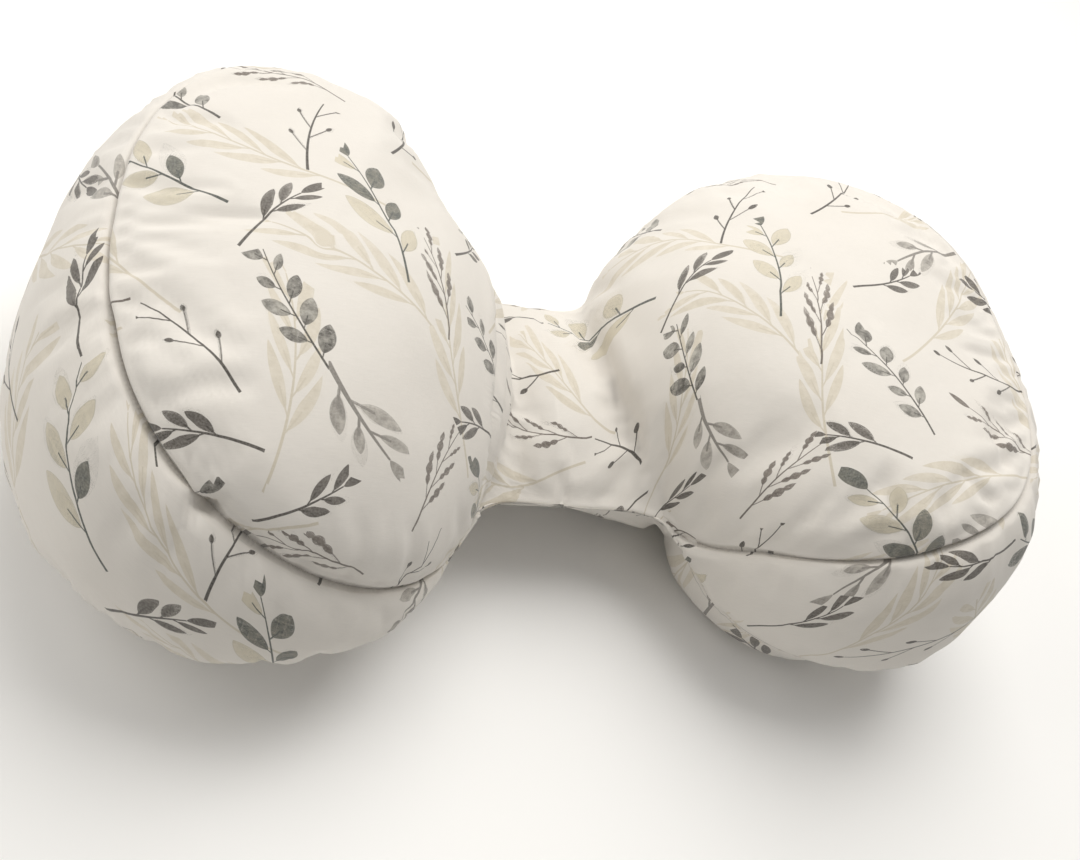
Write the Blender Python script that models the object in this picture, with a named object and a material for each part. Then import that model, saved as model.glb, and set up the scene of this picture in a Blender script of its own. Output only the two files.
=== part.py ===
"""Nursing pillow: two plump lobes joined by a narrow bridge that wraps the waist.

A zipped fabric cover goes round an inner pillow, a sewn liner full of fibre.
Cover and inner pillow are made as a left and a right half that meet at the middle of
the bridge, where the pillow bends.  Each half is a skin of points lofted round its
lobe; every layer is that skin moved inwards by its depth.  The invisible zip runs
along the lower seam of the right lobe, on an arc of a circle, so the slider turns
about the centre of that circle.

Frame: metres, +Z up, +X along the pillow, -Y towards the wearer, floor at Z = 0.
"""
import bmesh
import bpy
from math import atan2, cos, hypot, pi, radians, sin, sqrt, tan
from mathutils import Matrix, Vector

# ---- lobes: plan outline, heights -------------------------------------------------
LOBE_X = 0.1816              # centre of a lobe from the middle of the pillow
LOBE_Y = 0.0
LOBE_HALF_WIDTH = 0.1448
LOBE_HALF_DEPTH = 0.1869
LOBE_SQUARENESS = 2.15       # exponent of the super-ellipse, 2 is a plain ellipse
LOBE_TOE_IN = 0.217          # turn of each lobe, its back end towards the middle
CROWN_HEIGHT = 0.202
GIRTH_HEIGHT = 0.0652        # where the side wall is widest

# ---- top seam: height above the floor and reach as a share of the girth ------------
# mean, change outwards, change backwards, saddle, twist
SEAM_HEIGHT = {
    "left": (0.134, 0.063, 0.0225, -0.018, -0.009),
    "right": (0.140, 0.084, 0.003, -0.0235, 0.005),
}
SEAM_REACH = {
    "left": (0.863, -0.146, 0.007, -0.007, 0.027),
    "right": (0.8585, -0.094, 0.062, 0.007, -0.024),
}

# ---- lower seam: a level arc in front, an even inset from the girth behind ---------
ARC_X = 0.2015
ARC_Y = -0.0468
ARC_RADIUS = 0.1175
LOW_SEAM_HEIGHT = 0.0463
LOW_SEAM_TILT = radians(42)  # how far the skin faces down at the lower seam
UNDER_TILT = radians(47)     # and just below it
BACK_INSET = 0.014
ARC_END = radians(5)         # seen from the lobe's centre
ARC_TO_BACK = radians(38)    # turn over which the arc runs into the back inset
FOOT_WIDTH = 0.030           # from the tangent's foot to the flat resting patch

# ---- bridge ------------------------------------------------------------------------
BRIDGE_FRONT = 0.0764
BRIDGE_BACK = 0.0869
BRIDGE_EDGE_HEIGHT = 0.0748
BRIDGE_CROWN = 0.026         # rise of the top above its edges
BRIDGE_BELLY = 0.040         # drop of the underside below its edges
NECK_FRONT = radians(-146)   # where the lobe runs into the bridge's edge
NECK_BACK = radians(139)
NECK_BLEND = radians(28)     # turn over which the side wall grows from the neck
NECK_FILLET = 0.030
TOP_FILLET = 0.030

# ---- the bend in the middle of the bridge ------------------------------------------
BEND_Y = (BRIDGE_BACK - BRIDGE_FRONT) / 2
BEND_LIMIT = radians(15)     # to each side
CUT_SLOPE = tan(BEND_LIMIT / 2 + radians(1.2))
CUT_GAP = 0.0006             # from each half to the bend's axis

# ---- layers, as depths below the outside -------------------------------------------
COVER = (0.0, 0.0012)
TAPE = (0.0015, 0.0019)
INNER_DEPTH = 0.0070
BRIDGE_SLACK = 0.4          # share of those depths that is kept on the bridge
TIP_SHARE = 0.06             # width left at the tips of the side walls
SEAM_GAP = 0.0002            # each panel's edge to the seam line

# ---- zip ---------------------------------------------------------------------------
LIP_SETBACK = 0.0015         # each fabric lip to the middle of the zip
TAPE_SETBACK = 0.0019
HEM_WIDTH = 0.0120           # from the seam to the far edge of each zip tape
ZIP_FROM = radians(-130)     # about the arc's centre
ZIP_TO = radians(22)
COIL_RADIUS = 0.0008
COIL_OFFSET = 0.00145
COIL_DEPTH = 0.0048
SLIDER_LENGTH = 0.011
SLIDER_HALF_WIDTH = 0.0034
SLIDER_WALL = 0.00075
SLIDER_DEPTHS = (0.0042, 0.0061, 0.0068)   # flange tips, plate's face, plate's back
POST_HALF_WIDTH = 0.0004
POST_HALF_LENGTH = 0.0013
LUG_HALF_WIDTH = 0.0005
LUG_PROUD = 0.0026           # the pull's axis above the fabric
LUG_RADIUS = 0.0020
LUG_HOLE = 0.0011
LUG_TURN = radians(18)       # closed position of the slider on the arc
PIN_RADIUS = 0.0007
FORK_GAP = 0.0004
FORK_WALL = 0.0009
PULL_LENGTH = 0.022
PULL_WIDTH = 0.0065
PULL_THICKNESS = 0.0012
STOP_LENGTH = 0.0025
STOP_CLEARANCE = 0.0005

# ---- how finely the skin is divided ------------------------------------------------
LOBE_STEPS = 26
EDGE_STEPS = 2
CUT_STEPS = 3                # on each side of the bend's axis
TOP_RINGS = (0.38, 0.68, 0.90)
UNDER_RINGS = (0.50,)
COIL_STEPS = 40


def ease(value):
    """Smooth step from 0 to 1."""
    value = min(max(value, 0.0), 1.0)
    return value * value * (3 - 2 * value)


def mix(a, b, share):
    return a + (b - a) * share


def soft_max(a, b, width):
    """The larger of two values, with a fillet where they cross."""
    share = min(max(0.5 + 0.5 * (a - b) / width, 0.0), 1.0)
    return mix(b, a, share) + width * share * (1 - share)


# ---- outlines, as distances from the lobe's centre in the direction of an angle -----
def girth(angle):
    turned = angle - LOBE_TOE_IN
    across = (abs(cos(turned)) / LOBE_HALF_WIDTH) ** LOBE_SQUARENESS
    along = (abs(sin(turned)) / LOBE_HALF_DEPTH) ** LOBE_SQUARENESS
    return (across + along) ** (-1 / LOBE_SQUARENESS)


def harmonics(terms, angle):
    mean, outwards, backwards, saddle, twist = terms
    first = mean + outwards * cos(angle) + backwards * sin(angle)
    return first + saddle * cos(2 * angle) + twist * sin(2 * angle)


def lobe_seam(side, angle):
    return girth(angle) * min(harmonics(SEAM_REACH[side], angle), 1.0)


def bridge_edge(angle):
    if cos(angle) >= 0:
        return 0.0
    reach = BRIDGE_BACK - LOBE_Y if sin(angle) > 0 else BRIDGE_FRONT + LOBE_Y
    return reach / max(abs(sin(angle)), 1e-6)


def cut_line(angle):
    """The two faces of the cut form a shallow V that points at the other half."""
    offset = CUT_SLOPE * (LOBE_Y - BEND_Y)
    behind = (LOBE_X - CUT_GAP - offset) / (CUT_SLOPE * sin(angle) - cos(angle))
    before = (LOBE_X - CUT_GAP + offset) / (-CUT_SLOPE * sin(angle) - cos(angle))
    return min(behind, before)


def low_seam(angle):
    dx = ARC_X - LOBE_X
    dy = ARC_Y - LOBE_Y
    toward = dx * cos(angle) + dy * sin(angle)
    aside = dx * sin(angle) - dy * cos(angle)
    arc = toward + sqrt(max(ARC_RADIUS ** 2 - aside ** 2, 0.0))
    return mix(arc, girth(angle) - BACK_INSET, ease((angle - ARC_END) / ARC_TO_BACK))


def wall_share(angle):
    """0 on the bridge, 1 where the side wall has its full height."""
    return ease((angle - NECK_FRONT) / NECK_BLEND) * ease((NECK_BACK - angle) / NECK_BLEND)


# ---- the skin ------------------------------------------------------------------------
def across_bridge(y):
    half = (BRIDGE_FRONT + BRIDGE_BACK) / 2
    return 1 - ((y - BEND_Y) / half) ** 2


def top_height(side, angle, distance):
    edge = mix(BRIDGE_EDGE_HEIGHT, harmonics(SEAM_HEIGHT[side], angle), wall_share(angle))
    seam = lobe_seam(side, angle)
    share = distance / seam
    if share < 1:
        dome = edge + (CROWN_HEIGHT - edge) * sqrt(1 - share ** 2)
    else:
        dome = edge - (distance - seam)
    y = LOBE_Y + distance * sin(angle)
    bridge = BRIDGE_EDGE_HEIGHT + BRIDGE_CROWN * across_bridge(y)
    return soft_max(dome, bridge, TOP_FILLET)


def corner_angle(edge_y):
    x = CUT_GAP + CUT_SLOPE * abs(edge_y - BEND_Y)
    return atan2(edge_y - LOBE_Y, x - LOBE_X)


def directions():
    """Angles round the lobe, counter-clockwise from the bridge's front corner."""
    front = corner_angle(-BRIDGE_FRONT)
    back = corner_angle(BRIDGE_BACK)
    axis = atan2(BEND_Y - LOBE_Y, CUT_GAP - LOBE_X)
    stops = [front, NECK_FRONT, NECK_BACK, back, axis, front + 2 * pi]
    steps = [EDGE_STEPS, LOBE_STEPS, EDGE_STEPS, CUT_STEPS, CUT_STEPS]
    angles = []
    for start, end, count in zip(stops, stops[1:], steps):
        angles += [mix(start, end, i / count) for i in range(count)]
    return angles


def column(side, angle, on_cut):
    """Points of the skin from the crown to the resting patch, as (distance, height)."""
    share = wall_share(angle)
    if on_cut:
        out = cut_line(angle)
        rise = across_bridge(LOBE_Y + out * sin(angle))
        high = BRIDGE_EDGE_HEIGHT + BRIDGE_CROWN * rise
        low = BRIDGE_EDGE_HEIGHT - BRIDGE_BELLY * rise
    else:
        out = soft_max(lobe_seam(side, angle), bridge_edge(angle), NECK_FILLET)
        high = mix(BRIDGE_EDGE_HEIGHT, harmonics(SEAM_HEIGHT[side], angle), share)
        low = mix(BRIDGE_EDGE_HEIGHT, LOW_SEAM_HEIGHT, share)
    wide = mix(out, max(girth(angle), out), share)
    under = mix(out, low_seam(angle), share)
    wide = min(wide, max(out, under) + max(high - low, 0.0))
    belt = mix((high + low) / 2, min(GIRTH_HEIGHT, (high + low) / 2), share)
    hem = min(HEM_WIDTH * share, 0.6 * hypot(wide - under, belt - low))
    lean = (atan2(wide - under, belt - low + 1e-6) + LOW_SEAM_TILT) / 2
    points = [(out * k, top_height(side, angle, out * k)) for k in TOP_RINGS]
    points.append((out, high))
    points.append((out + (wide - out) * sin(pi / 4), belt + (high - belt) * cos(pi / 4)))
    points.append((wide, belt))
    points.append((under + hem * sin(lean), low + hem * cos(lean)))
    points.append((under, low))
    points.append((under - hem * sin(UNDER_TILT), low - hem * cos(UNDER_TILT)))
    foot = mix(0.55 * under, under - low * tan(LOW_SEAM_TILT), share)
    inner = max(foot - FOOT_WIDTH, 0.25 * under)
    for k in UNDER_RINGS + (1.0,):
        distance = (1 - k) ** 2 * under + 2 * k * (1 - k) * foot + k * k * inner
        points.append((distance, (1 - k) ** 2 * low))
    return points


TOP_SEAM = len(TOP_RINGS)
LOW_SEAM = TOP_SEAM + 4
LAST_RING = LOW_SEAM + len(UNDER_RINGS) + 2


# Share of a layer's depth that each ring moves up: tops sink, undersides rise.
RISE = (-1,) * TOP_SEAM + (-1, 0, 0.7, 0.9, 1, 1) + (1,) * (len(UNDER_RINGS) + 1)


class Skin:
    """The outside of one half, and the same skin moved inwards."""

    def __init__(self, side):
        self.sign = 1 if side == "right" else -1
        self.angles = directions()
        lobe_end = 2 * EDGE_STEPS + LOBE_STEPS
        self.columns = []
        for i, angle in enumerate(self.angles):
            self.columns.append(column(side, angle, i >= lobe_end))

    def point(self, angle, distance, height):
        x = self.sign * (LOBE_X + distance * cos(angle))
        return Vector((x, LOBE_Y + distance * sin(angle), height))

    def layer(self, depth):
        """Crown, columns of points and middle of the floor, at a depth below the outside.

        The inner pillow lies closer to the cover on the bridge than on the lobe,
        and where the top and the underside meet in an edge they only move sideways.
        """
        grid = []
        for angle, points in zip(self.angles, self.columns):
            near = mix(BRIDGE_SLACK, 1.0, wall_share(angle)) if depth > TAPE[1] else 1.0
            wall = 0.3 * (points[TOP_SEAM][1] - points[LOW_SEAM][1])
            rows = []
            for j, (distance, height) in enumerate(points):
                most = wall if TOP_SEAM <= j <= LOW_SEAM + 1 else 1.0
                rise = RISE[j] * min(depth * near, most)
                inner = distance * (1 - depth * near / LOBE_HALF_WIDTH)
                rows.append(self.point(angle, inner, height + rise))
            grid.append(rows)
        crown = self.point(0.0, 0.0, CROWN_HEIGHT - depth)
        return crown, grid, self.point(0.0, 0.0, depth)


def pull_back(points, index, direction, amount):
    """Move a seam's point, and those that lie on it, along the skin away from it."""
    seam = points[index].copy()
    inner = index
    while 0 <= inner < len(points) and (points[inner] - seam).length < 1e-6:
        inner += direction
    if not 0 <= inner < len(points):
        return
    moved = seam + (points[inner] - seam).normalized() * amount
    for k in range(index, inner, direction):
        points[k] = moved


def in_zip(skin, i):
    """Whether column i crosses the zip, seen about the centre of the zip's arc."""
    seam = skin.point(skin.angles[i], *skin.columns[i][LOW_SEAM])
    if skin.sign < 0 or i >= 2 * EDGE_STEPS + LOBE_STEPS:
        return False
    turn = atan2(seam.y - ARC_Y, seam.x - ARC_X)
    return ZIP_FROM - radians(7) <= turn <= ZIP_TO + radians(7)


# ---- making objects --------------------------------------------------------------------
def clear_scene():
    for found in list(bpy.data.objects):
        bpy.data.objects.remove(found, do_unlink=True)


def collection(name):
    made = bpy.data.collections.new(name)
    bpy.context.scene.collection.children.link(made)
    return made


def material(name, colour, roughness, metallic=0.0):
    made = bpy.data.materials.new(name)
    made.use_nodes = True
    shader = made.node_tree.nodes["Principled BSDF"]
    shader.inputs["Base Color"].default_value = (*colour, 1.0)
    shader.inputs["Roughness"].default_value = roughness
    shader.inputs["Metallic"].default_value = metallic
    return made


def finish(name, mesh, finish_material):
    """Turn a bmesh into a named object of the pillow."""
    bmesh.ops.remove_doubles(mesh, verts=mesh.verts, dist=1e-6)
    bmesh.ops.dissolve_degenerate(mesh, edges=mesh.edges, dist=1e-6)
    bmesh.ops.recalc_face_normals(mesh, faces=mesh.faces)
    data = bpy.data.meshes.new(name)
    mesh.to_mesh(data)
    mesh.free()
    data.shade_smooth()
    data.set_sharp_from_angle(angle=radians(40))
    made = bpy.data.objects.new(name, data)
    PILLOW.objects.link(made)
    data.materials.append(finish_material)
    return made


def band(mesh, here, following):
    """Triangles between two columns, always split along the same diagonal."""
    for j in range(len(here) - 1):
        mesh.faces.new((here[j], here[j + 1], following[j + 1]))
        mesh.faces.new((here[j], following[j + 1], following[j]))


def fan(mesh, point, verts, row):
    """Close one end of the columns with triangles to a point."""
    centre = mesh.verts.new(point)
    for here, following in zip(verts, verts[1:] + verts[:1]):
        mesh.faces.new((centre, here[row], following[row]))


def shell(name, outer, inner, closed, finish_material, crowns=None, floors=None):
    """A thin panel between two grids of points, one column after another.

    Crowns close the columns' first ends and floors their last ends.
    """
    mesh = bmesh.new()
    faces = []
    for k, grid in enumerate((outer, inner)):
        verts = [[mesh.verts.new(p) for p in rows] for rows in grid]
        faces.append(verts)
        pairs = list(zip(verts, verts[1:] + verts[:1]))
        for here, following in pairs if closed else pairs[:-1]:
            band(mesh, here, following)
        if crowns:
            fan(mesh, crowns[k], verts, 0)
        if floors:
            fan(mesh, floors[k], verts, -1)
    first, second = faces
    open_rims = [row for row, shut in ((0, crowns), (-1, floors)) if not shut]
    for i in range(len(first) if closed else len(first) - 1):
        k = (i + 1) % len(first)
        for row in open_rims:
            corners = (first[i][row], second[i][row], second[k][row], first[k][row])
            mesh.faces.new(corners)
    if not closed:
        for i in (0, len(first) - 1):
            for j in range(len(first[i]) - 1):
                corners = (first[i][j], first[i][j + 1], second[i][j + 1], second[i][j])
                mesh.faces.new(corners)
    return finish(name, mesh, finish_material)


def panels(skin, prefix, finish_material):
    """Top panel, side wall and bottom panel of the cover on one half."""
    tops, walls, bottoms, crowns, floors = [], [], [], [], []
    wall_columns = range(EDGE_STEPS, EDGE_STEPS + LOBE_STEPS + 1)
    for depth in COVER:
        crown, grid, floor = skin.layer(depth)
        crowns.append(crown)
        floors.append(floor)
        top, wall, bottom = [], [], []
        for i, points in enumerate(grid):
            setback = LIP_SETBACK if in_zip(skin, i) else SEAM_GAP
            upper = points[:TOP_SEAM + 1]
            pull_back(upper, TOP_SEAM, -1, SEAM_GAP)
            top.append(upper)
            lower = points[LOW_SEAM:]
            pull_back(lower, 0, 1, setback)
            bottom.append(lower)
            if i in wall_columns:
                strip = points[TOP_SEAM:LOW_SEAM + 1]
                pull_back(strip, 0, 1, SEAM_GAP)
                pull_back(strip, len(strip) - 1, -1, setback)
                wall.append(strip)
        close_tips(wall)
        tops.append(top)
        walls.append(wall)
        bottoms.append(bottom)
    shell(prefix + "_top_panel", tops[0], tops[1], True, finish_material, crowns=crowns)
    shell(prefix + "_side_wall", walls[0], walls[1], False, finish_material)
    shell(prefix + "_bottom_panel", bottoms[0], bottoms[1], True, finish_material,
          floors=floors)


def close_tips(wall):
    """The side wall runs out to a narrow tip at each neck."""
    for end, nearby in ((0, 1), (-1, -2)):
        tip = wall[end][0]
        wall[end] = [tip.lerp(point, TIP_SHARE) for point in wall[nearby]]


def inner_pillow(skin, name, finish_material):
    """Sewn liner and fibre fill of one half, one closed solid."""
    crown, grid, floor = skin.layer(INNER_DEPTH)
    mesh = bmesh.new()
    verts = [[mesh.verts.new(p) for p in rows] for rows in grid]
    for here, following in zip(verts, verts[1:] + verts[:1]):
        band(mesh, here, following)
    fan(mesh, crown, verts, 0)
    fan(mesh, floor, verts, -1)
    return finish(name, mesh, finish_material)


# ---- zip ---------------------------------------------------------------------------------
def on_arc(turn, lateral=0.0, depth=0.0):
    """A point by the zip: turn about the arc's centre, up the wall, into the pillow."""
    reach = ARC_RADIUS + lateral * sin(LOW_SEAM_TILT) - depth * cos(LOW_SEAM_TILT)
    height = LOW_SEAM_HEIGHT + lateral * cos(LOW_SEAM_TILT) + depth * sin(LOW_SEAM_TILT)
    return Vector((ARC_X + reach * cos(turn), ARC_Y + reach * sin(turn), height))


def arc_frame(turn):
    """Local axes at the seam: X along the zip, Y up the wall, Z out of the pillow."""
    along = Vector((-sin(turn), cos(turn), 0.0))
    up = Vector((sin(LOW_SEAM_TILT) * cos(turn), sin(LOW_SEAM_TILT) * sin(turn),
                 cos(LOW_SEAM_TILT)))
    outward = along.cross(up)
    frame = Matrix((along, up, outward)).transposed().to_4x4()
    frame.translation = on_arc(turn)
    return frame


def zip_tape(skin, name, direction, finish_material):
    """A fabric strip behind one lip: direction -1 goes up the wall, 1 under the pillow."""
    layers = []
    for depth in TAPE:
        strip = []
        for i, points in enumerate(skin.layer(depth)[1]):
            if in_zip(skin, i):
                near = [points[LOW_SEAM], points[LOW_SEAM + direction]]
                pull_back(near, 0, 1, TAPE_SETBACK)
                strip.append(near[::direction])
        layers.append(strip)
    return shell(name, layers[0], layers[1], False, finish_material)


def zip_coil(name, lateral, finish_material):
    """One half of the chain, drawn as the round envelope of its coil."""
    curve = bpy.data.curves.new(name, "CURVE")
    curve.dimensions = "3D"
    curve.bevel_depth = COIL_RADIUS
    curve.bevel_resolution = 1
    curve.use_fill_caps = True
    spline = curve.splines.new("POLY")
    spline.points.add(COIL_STEPS)
    for i in range(COIL_STEPS + 1):
        turn = mix(ZIP_FROM, ZIP_TO, i / COIL_STEPS)
        spline.points[i].co = (*on_arc(turn, lateral, COIL_DEPTH), 1.0)
    curve.materials.append(finish_material)
    made = bpy.data.objects.new(name, curve)
    PILLOW.objects.link(made)
    return made


def box(mesh, low, high):
    """Add a box between two corners to a bmesh."""
    size = [b - a for a, b in zip(low, high)]
    centre = [(a + b) / 2 for a, b in zip(low, high)]
    place = Matrix.Translation(centre) @ Matrix.Diagonal((*size, 1.0))
    bmesh.ops.create_cube(mesh, size=1.0, matrix=place)


def cylinder(mesh, radius, half_length, centre):
    """Add a cylinder along Y to a bmesh."""
    place = Matrix.Translation(centre) @ Matrix.Rotation(pi / 2, 4, "X")
    bmesh.ops.create_cone(mesh, cap_ends=True, segments=16, radius1=radius, radius2=radius,
                          depth=2 * half_length, matrix=place)


def helper(name, build):
    """A hidden solid that joins or cuts another one."""
    mesh = bmesh.new()
    build(mesh)
    data = bpy.data.meshes.new(name)
    mesh.to_mesh(data)
    mesh.free()
    made = bpy.data.objects.new(name, data)
    made.display_type = "WIRE"
    made.hide_render = True
    CUTTERS.objects.link(made)
    return made


def combine(target, helpers, frame):
    for tool, operation in helpers:
        tool.matrix_world = frame
        step = target.modifiers.new(tool.name, "BOOLEAN")
        step.operation = operation
        step.solver = "EXACT"
        step.object = tool


def zip_slider(finish_material):
    """Channel that holds both coils, a post through the slit and a lug for the pull."""
    tips, face, back = SLIDER_DEPTHS
    half = SLIDER_LENGTH / 2
    wide = SLIDER_HALF_WIDTH
    inner = wide - SLIDER_WALL
    mesh = bmesh.new()
    outline = [(-wide, -tips), (-wide, -back), (wide, -back), (wide, -tips),
               (inner, -tips), (inner, -face), (-inner, -face), (-inner, -tips)]
    end = mesh.faces.new([mesh.verts.new((-half, y, z)) for y, z in outline])
    swept = bmesh.ops.extrude_face_region(mesh, geom=[end])
    moved = [v for v in swept["geom"] if isinstance(v, bmesh.types.BMVert)]
    bmesh.ops.translate(mesh, vec=(SLIDER_LENGTH, 0, 0), verts=moved)
    body = finish("zip_slider_body", mesh, finish_material)
    frame = arc_frame(LUG_TURN)
    body.matrix_world = frame
    post = (-POST_HALF_LENGTH, -POST_HALF_WIDTH, -face - 0.0002)
    post_top = (POST_HALF_LENGTH, POST_HALF_WIDTH, LUG_PROUD)
    centre = (0, 0, LUG_PROUD)
    tools = [
        (helper("slider_post", lambda m: box(m, post, post_top)), "UNION"),
        (helper("slider_lug", lambda m: cylinder(m, LUG_RADIUS, LUG_HALF_WIDTH, centre)),
         "UNION"),
        (helper("slider_eye", lambda m: cylinder(m, LUG_HOLE, 0.002, centre)),
         "DIFFERENCE"),
    ]
    combine(body, tools, frame)
    return body


def zip_pull(finish_material):
    """Pull tab with a forked end, its pin through the slider's lug."""
    inner = LUG_HALF_WIDTH + FORK_GAP
    outer = inner + FORK_WALL
    half = PULL_THICKNESS / 2
    mesh = bmesh.new()
    start = -LUG_RADIUS - 0.0012
    box(mesh, (-PULL_LENGTH, -PULL_WIDTH / 2, -half), (start, PULL_WIDTH / 2, half))
    corners = [e for e in mesh.edges if abs(e.verts[0].co.z - e.verts[1].co.z) > half]
    bmesh.ops.bevel(mesh, geom=corners, offset=0.0018, segments=3, affect="EDGES")
    tab = finish("zip_pull_tab", mesh, finish_material)
    frame = arc_frame(LUG_TURN) @ Matrix.Translation((0, 0, LUG_PROUD))
    tab.matrix_world = frame
    arm = 0.0011
    tools = [
        (helper("pull_arm_upper", lambda m: box(m, (start - 0.0005, inner, -half * 0.9),
                                                (arm, outer, half * 0.9))), "UNION"),
        (helper("pull_arm_lower", lambda m: box(m, (start - 0.0005, -outer, -half * 0.9),
                                                (arm, -inner, half * 0.9))), "UNION"),
        (helper("pull_pin", lambda m: cylinder(m, PIN_RADIUS * 0.75, outer - 0.0001,
                                               (0, 0, 0))), "UNION"),
    ]
    combine(tab, tools, frame)
    return tab


def zip_stop(name, turn, low, high, finish_material):
    """A clamp past the end of the coils, between two lateral offsets."""
    mesh = bmesh.new()
    deep = COIL_DEPTH + COIL_RADIUS
    shallow = COIL_DEPTH - COIL_RADIUS
    box(mesh, (-STOP_LENGTH / 2, low, -deep), (STOP_LENGTH / 2, high, -shallow))
    made = finish(name, mesh, finish_material)
    made.matrix_world = arc_frame(turn)
    return made


def build():
    fabric = material("printed_cotton", (0.79, 0.75, 0.68), 0.85)
    lining = material("liner_cotton", (0.88, 0.88, 0.86), 0.9)
    tape = material("zip_tape_cream", (0.76, 0.72, 0.64), 0.8)
    nylon = material("zip_coil_nylon", (0.72, 0.69, 0.62), 0.45)
    metal = material("zip_metal", (0.75, 0.72, 0.66), 0.35, 1.0)
    for side in ("left", "right"):
        skin = Skin(side)
        panels(skin, "cover_" + side, fabric)
        inner_pillow(skin, "inner_pillow_" + side, lining)
        if side == "right":
            zip_tape(skin, "zip_tape_upper", -1, tape)
            zip_tape(skin, "zip_tape_lower", 1, tape)
    zip_coil("zip_coil_upper", COIL_OFFSET, nylon)
    zip_coil("zip_coil_lower", -COIL_OFFSET, nylon)
    zip_slider(metal)
    zip_pull(metal)
    past = (STOP_LENGTH / 2 + STOP_CLEARANCE) / ARC_RADIUS
    inner = COIL_OFFSET - COIL_RADIUS
    outer = COIL_OFFSET + COIL_RADIUS
    zip_stop("zip_top_stop_upper", ZIP_TO + past, inner, outer, metal)
    zip_stop("zip_top_stop_lower", ZIP_TO + past, -outer, -inner, metal)
    zip_stop("zip_bottom_stop", ZIP_FROM - past, -outer, outer, metal)


clear_scene()
PILLOW = collection("nursing_pillow")
CUTTERS = collection("cutters")
build()
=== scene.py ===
"""Looks of the nursing pillow: sewn cover with a leaf print, inner pillow, zip.

The cover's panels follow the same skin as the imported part, divided finely, with the
swelling and wrinkles of a cloth simulation, sewn seams, folds and gathers added to it.
Only the right lobe's front differs: its wall is tucked in a little above the zip.
Metres, +Z up, floor at Z = 0.
"""
from math import atan2, cos, pi, radians, sin, sqrt, tan

import bmesh
import bpy
import numpy as np
from mathutils import Matrix, Vector, noise
from mathutils.bvhtree import BVHTree
from mathutils.interpolate import poly_3d_calc
from mathutils.kdtree import KDTree


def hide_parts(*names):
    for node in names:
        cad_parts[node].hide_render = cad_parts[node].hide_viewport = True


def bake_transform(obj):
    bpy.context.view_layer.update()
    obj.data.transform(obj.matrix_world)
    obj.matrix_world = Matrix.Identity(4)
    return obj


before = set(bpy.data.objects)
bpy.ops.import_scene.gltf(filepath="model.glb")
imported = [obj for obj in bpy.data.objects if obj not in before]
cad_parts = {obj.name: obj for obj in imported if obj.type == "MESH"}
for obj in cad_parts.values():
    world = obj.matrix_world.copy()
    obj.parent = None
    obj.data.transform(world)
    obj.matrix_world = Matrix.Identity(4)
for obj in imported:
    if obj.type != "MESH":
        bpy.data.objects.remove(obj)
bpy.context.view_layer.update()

# ---- the skin of the pillow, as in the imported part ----
LOBE_X = 0.1816
LOBE_HALF_WIDTH = 0.1448
LOBE_HALF_DEPTH = 0.1869
LOBE_SQUARENESS = 2.15
LOBE_TOE_IN = 0.217
CROWN_HEIGHT = 0.202
GIRTH_HEIGHT = 0.0652
SEAM_HEIGHT = {
    "left": (0.134, 0.063, 0.0225, -0.018, -0.009),
    "right": (0.140, 0.084, 0.003, -0.0235, 0.005),
}
SEAM_REACH = {
    "left": (0.863, -0.146, 0.007, -0.007, 0.027),
    "right": (0.8585, -0.094, 0.062, 0.007, -0.024),
}
ARC_X = 0.2015
ARC_Y = -0.0468
ARC_RADIUS = 0.1175
LOW_SEAM_HEIGHT = 0.0463
LOW_SEAM_TILT = radians(42)
BACK_INSET = 0.014
ARC_END = radians(5)
ARC_TO_BACK = radians(38)
FOOT_WIDTH = 0.030
BRIDGE_FRONT = 0.0764
BRIDGE_BACK = 0.0869
BRIDGE_EDGE_HEIGHT = 0.0748
BRIDGE_CROWN = 0.026
BRIDGE_BELLY = 0.040
NECK_FRONT = radians(-146)
NECK_BACK = radians(139)
NECK_BLEND = radians(28)
NECK_FILLET = 0.030
TOP_FILLET = 0.030
BEND_Y = (BRIDGE_BACK - BRIDGE_FRONT) / 2
ZIP_FROM = radians(-130)
ZIP_TO = radians(22)
ZIP_FADE = 0.06
LIPS_FROM = radians(-158)    # the lips carry on past the zip's end, to the neck

# the front of the right lobe, where the photograph looks down on the zip
TUCK_FROM = radians(-151)
TUCK_START = radians(23)
TUCK_TO = radians(-66)
TUCK_FADE = radians(26)
TUCKED_BELLY = 0.0105
TUCKED_FOOT = 0.018

# ---- how finely the panels are divided ----
LOBE_STEPS = 210
EDGE_STEPS = 12
CUT_STEPS = 26
TOP_ROWS = 40
WALL_ROWS = 24
UNDER_ROWS = 16
EDGE_OFFSETS = (0.0, 0.0006, 0.0013, 0.0022, 0.0034, 0.0052, 0.0080)

# ---- cloth ----
CLOTH_THICKNESS = 0.0008
LIP_SETBACK = 0.0008         # each fabric lip to the middle of the zip,
LIP_LIMIT = 0.0005           # and the most that it is moved by
LINER_DEPTH = 0.0052
VOXEL = 0.006
PRESSURE = 4.0
SIM_FRAMES = 20
CLOTH_MASS = 0.25
STRETCH_STIFFNESS = 12
SHEAR_STIFFNESS = 4
BENDING_STIFFNESS = 0.12
GROW = -0.035                # negative shrinking: the cloth is cut a little large
PIN_REACH = 0.007            # cloth this near a seam is held
FLOOR_REACH = 0.012
SLOW_ROUNDS = 60             # smoothing that splits the swelling from the wrinkles
SWELL_CAP = 0.008


def ease(value):
    value = min(max(value, 0.0), 1.0)
    return value * value * (3 - 2 * value)


def mix(a, b, share):
    return a + (b - a) * share


def soft_max(a, b, width):
    share = min(max(0.5 + 0.5 * (a - b) / width, 0.0), 1.0)
    return mix(b, a, share) + width * share * (1 - share)


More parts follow.
